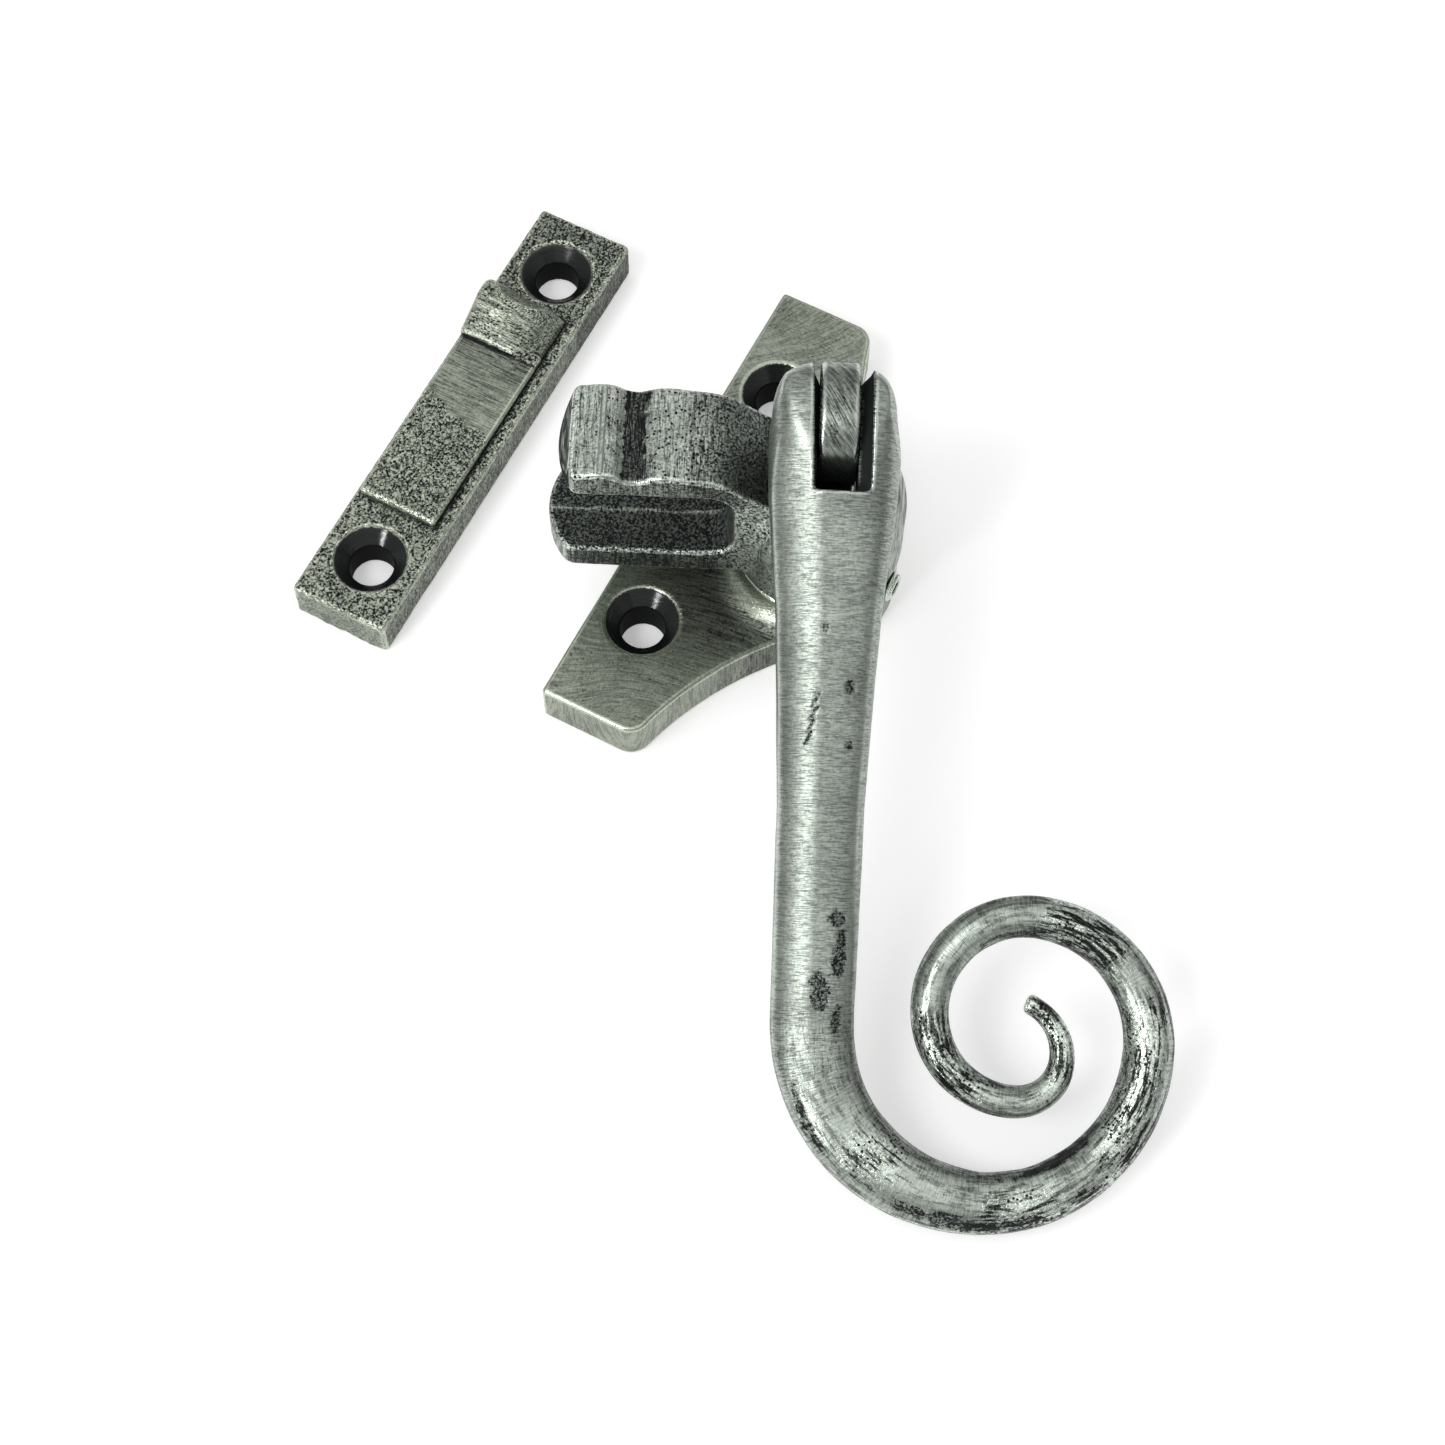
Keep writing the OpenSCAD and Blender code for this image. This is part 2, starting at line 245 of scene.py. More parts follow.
def mesh_of(name, field, low, high, step, place, skin):
    """A Blender object for a field, whose place turns its millimetres into the frame. skin(points, normal)
    gives how far the skin stands out, the places that the material's grain follows, and named values."""
    points, quads = surface(field, low, high, step)
    for _ in range(3):
        value, slope, _ = probe(field, points, 0.02)
        move = value[:, None] * slope / np.maximum((slope ** 2).sum(1), 0.05)[:, None]
        points -= np.clip(move, -0.5 * step, 0.5 * step)
    normal = slope / np.maximum(np.linalg.norm(slope, axis=1), 1e-6)[:, None]
    _, slope, bend = probe(field, points, 0.4)
    relief, grain, named = skin(points, normal)
    named["bend"] = bend / np.maximum(np.linalg.norm(slope, axis=1), 0.3)
    points = points + normal * relief[:, None]
    mesh = bpy.data.meshes.new(name)
    mesh.from_pydata(points.tolist(), [], quads.tolist())
    mesh.transform(place @ Matrix.Scale(MM, 4))
    flow = mesh.attributes.new("grain", "FLOAT_VECTOR", "POINT")
    flow.data.foreach_set("vector", grain.astype(np.float32).ravel())
    for key, values in named.items():
        layer = mesh.attributes.new(key, "FLOAT", "POINT")
        layer.data.foreach_set("value", np.broadcast_to(values, len(points)).astype(np.float32))
    mesh.shade_smooth()
    obj = bpy.data.objects.new(name, mesh)
    bpy.context.scene.collection.objects.link(obj)
    return obj


# ---------------------------------------------------------------- base plate
def screw_hole(radius, top, z):
    """A countersunk hole, from the distance to its axis."""
    cone = (radius - SINK_R + top - z) * math.sqrt(0.5)
    return np.minimum(radius - SCREW_R, cone)


PLATE_END = plate_high[1]
SWEEP_Y = PLATE_END + SWEEP_PAST
SWEEP_X = math.sqrt((SWEEP_R + BOSS_R) ** 2 - SWEEP_Y ** 2)
BOSS_TOP = plate_high[2]
LOCK_Z = (screw_low[2] + screw_high[2]) / 2


def plate_field(x, y, z):
    """The plate with its hollow sweeps, the boss with its flare, and every hole and recess in them."""
    far = np.hypot(x, y)
    side = abs(y)
    sweep = SWEEP_R - np.hypot(x - SWEEP_X, side - SWEEP_Y)
    outline = common(common(sweep, side - PLATE_END, CORNER_R), plate_low[0] - x, PLATE_EDGE)
    outline = np.minimum(np.maximum(outline, x - SWEEP_X * BOSS_R / (SWEEP_R + BOSS_R)), far - BOSS_R)
    top = joined(z - PLATE_THICK, far - BOSS_R, BOSS_TOP - PLATE_THICK)
    solid = common(common(outline, top, PLATE_EDGE), z - BOSS_TOP, BOSS_EDGE)
    solid = common(solid, -z, BACK_EDGE)
    hole = screw_hole(np.hypot(x - PLATE_HOLE_X, side - PLATE_HOLE_Y), PLATE_THICK, z)
    solid = without(solid, hole, HOLE_EDGE)
    solid = np.maximum(solid, JOURNAL_R + RUNNING_GAP - far)
    solid = np.maximum(solid, -np.maximum(far - RECESS_R, z - RECESS_TOP))
    lock = np.maximum(np.hypot(y, z - LOCK_Z) - (screw_high[2] - screw_low[2]) / 2 - RUNNING_GAP, -x)
    return without(solid, lock, LOCK_EDGE)


# ---------------------------------------------------------------- hook plate
HOOK_MIDDLE = (hook_low + hook_high) / 2
HOOK_HALF_X = (hook_high[0] - hook_low[0]) / 2
HOOK_HALF_Y = (hook_high[1] - hook_low[1]) / 2
SIDE_INSET, CHAMFER_INSET = 0.7, 1.6
STRIKE_X = (-HOOK_HALF_X + SIDE_INSET, HOOK_HALF_X - CHAMFER_INSET)
STRIKE_LOW, STEP_Y, STOP_END = -16.5, 9.3, 17.9
STRIKE_FOOT = 1.0
STOP_INSET = 0.2
HOOK_CORNER, HOOK_EDGE = 0.7, 0.5
STRIKE_CORNER, STRIKE_EDGE = 0.4, 0.35
STOP_CORNER, STOP_EDGE = 0.8, 0.7
HOOK_FILLET, HOOK_HOLE_EDGE, SINK_EDGE = 0.12, 0.18, 0.25
# What turns a height over the stop's curve into about a distance
STOP_SCALE = 0.8
# Heights of the stop over the bar along its middle, and their shares from side to side
stop_along = curve_through((STEP_Y - 1, STEP_Y, STEP_Y + 3, STEP_Y + 6, STOP_END - 1, STOP_END + 1),
                           (1.4, 1.6, 2.8, STOP_RISE, STOP_RISE - 0.4, 0.6))
stop_across = curve_through((-HOOK_HALF_X, -3.5, 0, 2.4, STRIKE_X[1]), (1, 1.04, 0.93, 0.72, 0.2))


def slab(value, low, high):
    """The space between two parallel planes."""
    return abs(value - (low + high) / 2) - (high - low) / 2


def hook_field(x, y, z):
    """The bar, its worn striking face, and the stop lump that the upper countersink cuts into."""
    bar = common(slab(x, -HOOK_HALF_X, HOOK_HALF_X), slab(y, -HOOK_HALF_Y, HOOK_HALF_Y), HOOK_CORNER)
    bar = common(bar, slab(z, 0, HOOK_THICK), HOOK_EDGE)
    strike = common(slab(x, *STRIKE_X), slab(y, STRIKE_LOW, STEP_Y + 2), STRIKE_CORNER)
    strike = common(strike, slab(z, STRIKE_FOOT, HOOK_THICK + STRIKE_RISE), STRIKE_EDGE)
    stop = slab(x, STOP_INSET - HOOK_HALF_X, STRIKE_X[1])
    stop = common(stop, slab(y, STEP_Y, STOP_END), STOP_CORNER)
    rise = stop_along(y) * stop_across(x)
    stop = common(stop, np.maximum(z - HOOK_THICK - rise, STRIKE_FOOT - z) * STOP_SCALE, STOP_EDGE)
    solid = joined(bar, np.minimum(strike, stop), HOOK_FILLET)
    radius = np.hypot(x, abs(y) - HOOK_HOLE_Y)
    solid = without(solid, screw_hole(radius, HOOK_THICK, z), HOOK_HOLE_EDGE)
    sink = common(np.hypot(x, y - HOOK_HOLE_Y) - SINK_R, HOOK_THICK - 0.1 - z, 0.1)
    return without(solid, sink, SINK_EDGE)


# ---------------------------------------------------------------- nose arm, with the nose along -X
LOW_REACH, HIGH_REACH, TIP_R, TIP_BLUNT = 32.8, 31.0, 9.0, 50.0
LOW_BOTTOM, GAP_BOTTOM, GAP_TOP, NOSE_TOP = 12.8, 17.0, 30.2, 34.2
ROOT_X, ROOT_R = -10.3, 3.6
FORK_END = 3.0
# What turns a height over the top's curve, and the dome's unit measure, into about a distance
TOP_SCALE, DOME_SCALE = 0.85, 9.0
HUB_BOTTOM = washer_high[2] + 0.03
NOSE_CORNER, NOSE_EDGE, GAP_EDGE, DOME_EDGE, LUG_EDGE = 0.6, 0.45, 0.5, 0.4, 0.55
DOME_FOOT, DOME_RISE, DOME_POWER = 18.0, 10.5, 2.6
DOME_FILLET, LUG_FILLET = 1.2, 0.8
SHOULDER_Z = DOME_FOOT + DOME_RISE
SPINDLE_TOP = 25.0
# The lug is LUG_FOOT_HALF deep each way at its foot. At the pin's height LUG_FREE lifts that limit.
LUG_FOOT_HALF, LUG_FREE, LUG_SHOULDER = 5.2, 40.0, 1.0
GROOVE_X = -22.0
PIN_Z = pin_place.z / MM
nose_line = curve_through(
    (-32, -31, -30, -29.4, -28.6, -24.2, -23.2, -22, -20.9, -20, -15, -12.6, -10.6, -8.6, -6.4, 0),
    (30.8, 32, 33.3, 34.1, NOSE_TOP, NOSE_TOP, 33.5, 33.25, 33.6, 34, 33.85, 33.4, 32.4, 30.6, 28.8,
     SHOULDER_Z))


def nose_field(x, y, z):
    """The fork, its domed hub and the knuckle lug, less the bores for the spindle and the hinge pin."""
    top = (z - nose_line(x)) * TOP_SCALE
    upward, inward = slab(z, GAP_BOTTOM, GAP_TOP) + ROOT_R, x - ROOT_X + ROOT_R
    gap = np.hypot(np.maximum(upward, 0), np.maximum(inward, 0)) - ROOT_R
    gap = gap + np.minimum(np.maximum(upward, inward), 0)
    side = without(np.maximum(top, LOW_BOTTOM - z), gap, GAP_EDGE)
    reach = LOW_REACH + (HIGH_REACH - LOW_REACH) * np.clip((z - GAP_BOTTOM) / (GAP_TOP - GAP_BOTTOM), 0, 1)
    round_r = TIP_R * reach / LOW_REACH + TIP_BLUNT * (1 - reach / LOW_REACH)
    tip = np.where(x < round_r - reach, np.hypot(x - round_r + reach, y) - round_r, abs(y) - round_r)
    plan = common(tip, abs(y) - NOSE_HALF, NOSE_CORNER)
    fork = common(common(side, plan, NOSE_EDGE), x - FORK_END, GAP_EDGE)
    fork = common(fork, LOW_BOTTOM - z, NOSE_EDGE)
    far = np.hypot(x, y)
    dome = (far / HUB_R) ** DOME_POWER + (np.maximum(z - DOME_FOOT, 0) / DOME_RISE) ** DOME_POWER
    dome = common((dome ** (1 / DOME_POWER) - 1) * DOME_SCALE, HUB_BOTTOM - z, DOME_EDGE)
    lug = np.where(z > PIN_Z, np.hypot(y, z - PIN_Z) - KNUCKLE_R, abs(y) - KNUCKLE_R)
    lug = common(lug, abs(y) - LUG_FOOT_HALF - LUG_FREE * step_up(z, PIN_Z - 3, PIN_Z), LUG_SHOULDER)
    lug = np.minimum(lug, np.hypot(y, z - PIN_Z) - KNUCKLE_R)
    lug = common(lug, abs(x - LUG_X) - LUG_HALF, LUG_EDGE)
    lug = np.maximum(lug, SHOULDER_Z - 2 - z)
    solid = joined(joined(fork, dome, DOME_FILLET), lug, LUG_FILLET)
    solid = np.maximum(solid, np.minimum(JOURNAL_R - far, SPINDLE_TOP - z))
    return np.maximum(solid, PIN_R + RUNNING_GAP - np.hypot(y, z - PIN_Z))


# ---------------------------------------------------------------- handle, running along -Y from the pin
BAR_STEP = 0.25
BAR_AHEAD = 12
BEND_BLUR = 8


def bar_middle():
    """Places and headings at even steps down the middle of the bar, from ahead of the pin."""
    turns = [(STEM_LEN + BAR_AHEAD, 0)] + [(r * math.pi / 2, 1 / r) for r in CURL_RADII[:-1]]
    turns.append((CURL_RADII[-1] * math.radians(LAST_TURN), 1 / CURL_RADII[-1]))
    bend = np.concatenate([np.full(round(length / BAR_STEP), curve) for length, curve in turns])
    soft = np.ones(2 * BEND_BLUR + 1) / (2 * BEND_BLUR + 1)
    bend = np.convolve(np.pad(bend, BEND_BLUR, mode="edge"), soft, mode="valid")
    heading = np.concatenate([[0], np.cumsum(bend) * BAR_STEP])
    middle = (heading[1:] + heading[:-1]) / 2
    x = np.concatenate([[0], np.cumsum(np.sin(middle)) * BAR_STEP])
    y = BAR_AHEAD - np.concatenate([[0], np.cumsum(np.cos(middle)) * BAR_STEP])
    return np.stack([x, y], 1), heading


bar_points, bar_heading = bar_middle()
bar_lengths = np.arange(len(bar_points)) * BAR_STEP - BAR_AHEAD
BAR_END = bar_lengths[-1]
bar_half = np.interp(bar_lengths, *zip(*BAR_WIDTHS)) / 2
# The table that finds the nearest step of the bar: size of its squares, its corner and how many squares
TABLE_STEP = 0.5
TABLE_LOW = np.array([-12.0, -100.0])
TABLE_SIZE = (120, 236)
HANDLE_LOW, HANDLE_HIGH = (-9, -94, -KNUCKLE_R), (44, 8, KNUCKLE_R)


def nearest_table():
    """For each square of a table over the handle's plane, which step of the bar lies nearest."""
    table = np.empty(TABLE_SIZE, int)
    for i in range(TABLE_SIZE[0]):
        at = TABLE_LOW + TABLE_STEP * np.stack([np.full(TABLE_SIZE[1], i), np.arange(TABLE_SIZE[1])], 1)
        gap = np.hypot(at[:, None, 0] - bar_points[None, :, 0], at[:, None, 1] - bar_points[None, :, 1])
        table[i] = (gap - bar_half).argmin(1)
    return table


bar_table = nearest_table()


def along_bar(x, y):
    """Distance to the side of the bar's middle line, and length from the pin, for places on its plane."""
    x, y = np.broadcast_arrays(x, y)
    i = np.clip(((x - TABLE_LOW[0]) / TABLE_STEP + 0.5).astype(int), 0, TABLE_SIZE[0] - 1)
    j = np.clip(((y - TABLE_LOW[1]) / TABLE_STEP + 0.5).astype(int), 0, TABLE_SIZE[1] - 1)
    step = bar_table[i, j]
    for _ in range(2):
        dx, dy = x - bar_points[step, 0], y - bar_points[step, 1]
        ahead = dx * np.sin(bar_heading[step]) - dy * np.cos(bar_heading[step])
        step = np.clip(step + np.rint(ahead / BAR_STEP).astype(int), 0, len(bar_points) - 1)
    dx, dy = x - bar_points[step, 0], y - bar_points[step, 1]
    ahead = dx * np.sin(bar_heading[step]) - dy * np.cos(bar_heading[step])
    side = dx * np.cos(bar_heading[step]) + dy * np.sin(bar_heading[step])
    return side, bar_lengths[step] + ahead


def slot_walls(y, z):
    """The left and right side of the head's slot. Both lean away from the lug towards their rims."""
    lean = step_up(np.hypot(z, np.maximum(y, 0)), *SLOT_LEAN)
    ahead = y + SLOT_END
    lug = LUG_X - KNUCKLE_X
    snug = LUG_HALF + SLOT_SNUG
    left = (CHEEK_SLOT[0] - SLOT_SPREAD[0] * ahead - lug + snug) * lean + lug - snug
    right = (CHEEK_SLOT[1] - SLOT_SPREAD[1] * ahead - lug - snug) * lean + lug + snug
    return left, right


def handle_field(x, y, z):
    """A bar of changing width, bevelled along the stem and round in the curl, with a forked round head."""
    side, length = along_bar(x, y)
    half = np.interp(length, *zip(*BAR_WIDTHS)) / 2
    thick = half * np.interp(length, *zip(*BAR_FLATNESS))
    power = np.interp(length, *zip(*BAR_SQUARENESS))
    bar = ((abs(side) / half) ** power + (abs(z) / thick) ** power) ** (1 / power)
    bar = (bar - 1) * np.minimum(half, thick)
    clear = sum(back * step_up(length, start, end) for start, end, back in BEVEL_FADES)
    for lean, up, start, edge in BEVELS:
        bar = common(bar, lean * side + up * z - start * half - up * thick - clear, edge)
    bar = common(bar, length - BAR_END + TAIL_CUT, TAIL_EDGE)
    behind = HEAD_OPENING * np.maximum(-y, 0)
    plan = np.hypot(x - HEAD_ROUND[0], np.maximum(y - HEAD_ROUND[1], 0)) - HEAD_HALF - behind
    profile = np.hypot(z, np.maximum(y, 0)) - KNUCKLE_R - HEAD_PROUD - behind
    for rounding in (plan, profile):
        bar = common(bar, np.where(y > HEAD_END, rounding, WELL_INSIDE), HEAD_EDGE)
    left, right = slot_walls(y, z)
    cheek = common(slab(x, left, right), -SLOT_END - y, SLOT_CORNER)
    solid = without(bar, cheek, SLOT_EDGE)
    return np.maximum(solid, PIN_R - np.hypot(y, z))


# ---------------------------------------------------------------- locking screw, along X
THREAD_PITCH, THREAD_DEPTH, THREAD_SCALE = 0.7, 0.38, 0.7
KEY_HALF, KEY_DEPTH, KEY_EDGE = 1.0, 2.0, 0.06
TIP_START_R, CROWN_START_R = 1.1, 1.55


def screw_field(x, y, z):
    """A grub screw: a thread all along, a cone at the tip and a hexagon socket in the other end."""
    far = np.hypot(y, z)
    turn = x / THREAD_PITCH - np.arctan2(z, y) / (2 * math.pi)
    groove = 2 * abs(turn - np.floor(turn) - 0.5)
    thread = far - (screw_high[2] - screw_low[2]) / 2 + THREAD_DEPTH * groove ** 1.5
    thread = thread * THREAD_SCALE
    tip = (far - TIP_START_R - x + screw_low[0]) * math.sqrt(0.5)
    crown = (far - CROWN_START_R + x - screw_high[0]) * math.sqrt(0.5)
    solid = np.maximum(np.maximum(thread, tip), np.maximum(crown, slab(x, screw_low[0], screw_high[0])))
    flats = [abs(y * math.cos(a) + z * math.sin(a)) for a in np.radians((0, 60, 120))]
    hexagon = np.maximum(flats[0], np.maximum(flats[1], flats[2])) - KEY_HALF
    return without(solid, np.maximum(hexagon, screw_high[0] - KEY_DEPTH - x), KEY_EDGE)


# ---------------------------------------------------------------- skins
# Named values, from 0 to 1: cast is how rough the casting still is, the dirt value how much black patina and
# painted shade there is, black where the metal is lacquered, the polish value where it is rubbed bright and where
# a highlight is painted, and forge where hammer scale shows.
def inside_holes(points, centres, top):
    """1 on the countersinks and bores and 0 elsewhere, then 1 on the bores alone and 0 elsewhere."""
    x, y, z = points.T
    gap = np.min([np.hypot(x - cx, y - cy) for cx, cy in centres], axis=0)
    inside = z < top - 0.05
    return 1.0 * ((gap < SINK_R - 0.1) & inside), 1.0 * ((gap < SCREW_R + 0.1) & inside)


# How far the scratches turn on the plate's +Y half and on its -Y half
PLATE_GRAIN = (math.radians(46), math.radians(8))


def plate_skin(points, normal):
    """Scratches that run another way on each end, painted shade of the nose arm round the boss, deeper on the -Y
    side, painted shade in the bores, and a flare rubbed bright with a painted highlight.
    """
    x, y, z = points.T
    centres = [(PLATE_HOLE_X, -PLATE_HOLE_Y), (PLATE_HOLE_X, PLATE_HOLE_Y)]
    holes, bores = inside_holes(points, centres, PLATE_THICK)
    turn = np.where(y > 0, *PLATE_GRAIN) + 0.2 * noise(points, 14, 24)
    grain = np.stack([y * np.cos(turn) - x * np.sin(turn), x * np.cos(turn) + y * np.sin(turn), z], 1)
    relief = 0.02 * noise(points, 4, 21) + 0.006 * noise(points, 0.8, 22)
    cast = 0.12 + 0.5 * (normal[:, 2] < -0.5)
    far = np.hypot(x, y)
    # Painted shade of the nose arm on the plate round the boss, deeper on the -Y side.
    dirt_and_shade = (0.2 + 0.25 * (y < 0)) * step_up(far + 2 * noise(points, 5, 23), 25, 14) * (x < 4)
    # The boss's flare, rubbed bright and with a painted highlight.
    polish_and_highlight = step_up(z, PLATE_THICK + 0.2, PLATE_THICK + 1.2) * step_up(far, 15, 13) * step_up(far, 8, 9)
    # Painted shade in the bores.
    dirt_and_shade = np.maximum(dirt_and_shade * (1 - polish_and_highlight), bores)
    named = {"cast": cast * (1 - holes), "dirt_and_shade": dirt_and_shade, "black": holes, "polish_and_highlight": polish_and_highlight}
    return relief * (1 - holes), grain, named


def hook_skin(points, normal):
    """Rough casting, ground flat on the upper part of the striking face and smooth before the stop, with the
    strike's lower edge worn bright under a painted highlight, and painted shade in the crease at the step and in
    the bores.
    """
    x, y, z = points.T
    holes, bores = inside_holes(points, [(0, -HOOK_HOLE_Y), (0, HOOK_HOLE_Y)], HOOK_THICK)
    edge = y + 1.5 * noise(points, 3, 31) + 1.2 * noise(points, 1.2, 32) + 0.35 * x
    ground = step_up(edge, -2.2, -1.6) * step_up(STEP_Y - y, 0, 0.1)
    ground = ground * step_up(z, HOOK_THICK + 0.8, HOOK_THICK + 1)
    slope = step_up(-normal[:, 1], 0.12, 0.3) * step_up(y, STEP_Y - 1, STEP_Y)
    slope = slope * step_up(STEP_Y + 6 - y, 0, 1) * step_up(z, HOOK_THICK + 1, HOOK_THICK + 1.4)
    cast = np.clip(1 - 0.9 * ground - 0.75 * step_up(abs(normal[:, 0]), 0.6, 0.8), 0, 1) * (1 - holes)
    cast = cast * (1 - 0.7 * slope)
    lumps = 0.07 * noise(points, 0.6, 33) + 0.06 * noise(points, 1.5, 34) + 0.07 * noise(points, 5, 35)
    relief = cast * lumps + 0.02 * noise(points, 4, 36)
    # The strike's lower edge, worn bright and with a painted highlight.
    step = step_up(abs(y - STRIKE_LOW), 0.9, 0.2) * step_up(z, HOOK_THICK + 0.3, HOOK_THICK + 1)
    # Painted shade in the crease where the stop rises from the strike.
    seam = step_up(abs(y - STEP_Y), 0.35, 0.1) * (z > HOOK_THICK + 1)
    sides = step_up(abs(normal[:, 0]), 0.7, 0.9)
    # Darker on the rough casting, on the ground face towards the stop, on the stop's far end and on the side
    # faces.
    dirt_and_shade = 0.1 * cast + 0.25 * ground * step_up(y, 4, 9)
    dirt_and_shade = dirt_and_shade + 0.25 * step_up(y, STOP_END - 1, STOP_END) + 0.6 * seam
    # Painted shade in the bores.
    dirt_and_shade = np.maximum(np.clip(dirt_and_shade + 0.25 * sides, 0, 0.8), bores)
    named = {"cast": cast, "dirt_and_shade": dirt_and_shade, "black": holes, "polish_and_highlight": step}
    return relief, np.stack([y, x, 4 * z], 1), named


def nose_skin(points, normal):
    """Filed bright on top, with a black groove and a rough root under painted shade, rough in the slot with
    painted shade there, painted shade under the head and on the lug's sides in the head's slot, and painted shade
    on the faces towards -Y.
    """
    x, y, z = points.T
    up = step_up(normal[:, 2], 0.5, 0.8)
    top = step_up(z, GAP_TOP, GAP_TOP + 1) * step_up(-x, 4, 7) * up
    # The floor of the slot between the fingers: rough, with painted shade.
    floor = up * step_up(GAP_TOP - z, 4, 6) * step_up(-x, 8, 10)
    web = step_up(abs(normal[:, 1]), 0.6, 0.9) * step_up(x, -13, -11) * step_up(-x, 4, 6)
    groove = top * step_up(0.5 * noise(points, 0.5, 41) + 1.6 - abs(x - GROOVE_X), 0, 0.5)
    # The root of the top, rough and unfiled, with painted shade.
    root = step_up(x + 2 * noise(points, 3, 45), -17, -10)
    root = root * step_up(z, GAP_TOP - 3, GAP_TOP) * step_up(-x, 4, 7)
    # Painted shade on the faces towards -Y, deeper on the lower finger.
    sides = step_up(-normal[:, 1], 0.7, 0.95) * step_up(HUB_R - np.hypot(x, y), 0, -3)
    # Painted shade on the lug's sides, down in the head's slot.
    cheeks = step_up(abs(normal[:, 0]), 0.7, 0.9) * step_up(z, SHOULDER_Z, SHOULDER_Z + 2)
    # Painted shade under the handle's head.
    under = step_up(KNUCKLE_R - np.hypot(x - LUG_X, y), 0, 1) * step_up(normal[:, 2], 0.3, 0.7)
    under = under * (z < PIN_Z - 5)
    parting = floor * step_up(abs(y + 0.7 + 0.15 * noise(points, 2, 46)), 0.3, 0.05)
    dirt_and_shade = cheeks + under + 0.75 * floor + 0.6 * groove + 0.4 * root
    dirt_and_shade = np.clip(dirt_and_shade + sides * (0.3 + 0.25 * (z < GAP_BOTTOM)) - parting, 0, 1)
    cast = np.clip(0.35 * top + 0.9 * floor + 0.5 * sides + 0.9 * web, 0, 1) * (1 - parting)
    relief = cast * (0.05 * noise(points, 0.6, 42) + 0.05 * noise(points, 1.4, 43))
    relief = relief + 0.03 * noise(points, 4, 44) + 0.1 * parting
    polish_and_highlight = 0.8 * top * (1 - root) * (1 - groove) + 0.5 * parting
    crown = z > PIN_Z - 4
    arc = KNUCKLE_R * np.arctan2(y, z - PIN_Z)
    cast = np.where(crown, 0.1 + 0.1 * noise(points, 2.5, 47), cast)
    cast = np.maximum(cast, 0.75 * root * up)
    slanting = np.stack([0.87 * x + 0.5 * arc, 0.87 * arc - 0.5 * x, z], 1)
    grain = np.where(crown[:, None], slanting, points)
    return relief, grain, {"cast": cast, "dirt_and_shade": dirt_and_shade, "black": 0.0 * x, "polish_and_highlight": polish_and_highlight}


# Places on the bar where the file or hammer left the black scale: length from the pin, distance to the
# right of the middle, and half length and half width of the mark
MARKS = ((56.5, 2.2, 1.3, 0.8), (60.5, 2.9, 2.8, 0.8), (64.6, 0.6, 2.2, 1.2), (68, 2.6, 2.0, 0.7),
         (24, -0.4, 0.6, 0.4), (30.5, 2.6, 0.7, 0.5), (37, 2.9, 0.6, 0.5), (98, -2.3, 10, 0.9),
         (79, -3.2, 4, 0.5), (110, 2.9, 7, 0.5))
# Slanting file nicks on the bar: length from the pin and distance to the right of the middle
NICKS = ((31.9, -1.1), (33.5, -1.3), (35.0, -1.6), (36.3, -1.8))


def handle_skin(points, normal):
    """Hammer dents and file nicks all along, black streaks round the curl with painted shade on its rims and a
    painted highlight down its middle, and painted shade on the walls of the head's slot.
    """
    x, y, z = points.T
    side, length = along_bar(x, y)
    curl = step_up(length, 62, 85)
    patches = step_up(noise(points, 7, 51), -0.1, 0.5)
    hammered = 0.05 * noise(points, 7, 52) + 0.03 * (1 + curl) * noise(points, 2.6, 53)
    marks = 0 * x
    for at, aside, long, wide in MARKS:
        gap = np.hypot((length - at) / long, (side - aside) / wide) + 0.5 * noise(points, 0.9, 54)
        marks = np.maximum(marks, step_up(gap, 1.1, 0.7) * (z > 0))
    for at, aside in NICKS:
        along, off = (length - at) - 0.5 * (side - aside), 0.5 * (length - at) + (side - aside)
        marks = np.maximum(marks, step_up(abs(off), 0.28, 0.1) * step_up(abs(along), 1.3, 0.8) * (z > 0))
    hammered = hammered - 0.08 * marks
    left, right = slot_walls(y, z)
    # Painted shade on the walls of the head's slot.
    slot = step_up(-slab(x, left, right), -0.22, -0.12)
    slot = slot * step_up(y, -SLOT_END - 0.22, -SLOT_END - 0.12)
    grain = np.stack([length, side, z], 1)
    forge = curl * (0.4 + 0.6 * patches)
    half = np.interp(length, *zip(*BAR_WIDTHS)) / 2
    # Painted shade on the rims of the curl's bar, and a painted highlight down its middle.
    rim = curl * step_up(abs(side) / half + 0.2 * noise(points, 4, 55), 0.72, 0.98)
    middle = curl * step_up(abs(side) / half, 0.6, 0.3)
    cast = np.clip(0.05 + 0.35 * curl * patches + 0.5 * marks, 0, 1) * (1 - slot)
    dirt_and_shade = np.clip(slot + 0.55 * marks + 0.4 * rim, 0, 1)
    named = {"cast": cast, "dirt_and_shade": dirt_and_shade, "black": 0.0 * x, "polish_and_highlight": 0.45 * middle, "forge": forge}
    return hammered, grain, named


def screw_skin(points, normal):
    """Painted shade in the socket and between the threads."""
    far = np.hypot(points[:, 1], points[:, 2])
    socket = step_up(far, 1.2, 1.0) * step_up(screw_high[0] - points[:, 0], 0.1, 0.8)
    thread = step_up(screw_high[0] - points[:, 0], 0.3, 0.5) * step_up(far, 1.85, 1.6)
    dirt_and_shade = np.clip(socket + 0.7 * thread * (far > 1.2), 0, 1)
    named = {"cast": 0.05 + 0 * far, "dirt_and_shade": dirt_and_shade, "black": 0 * far, "polish_and_highlight": 0.3 + 0 * far}
    return 0 * far, points, named


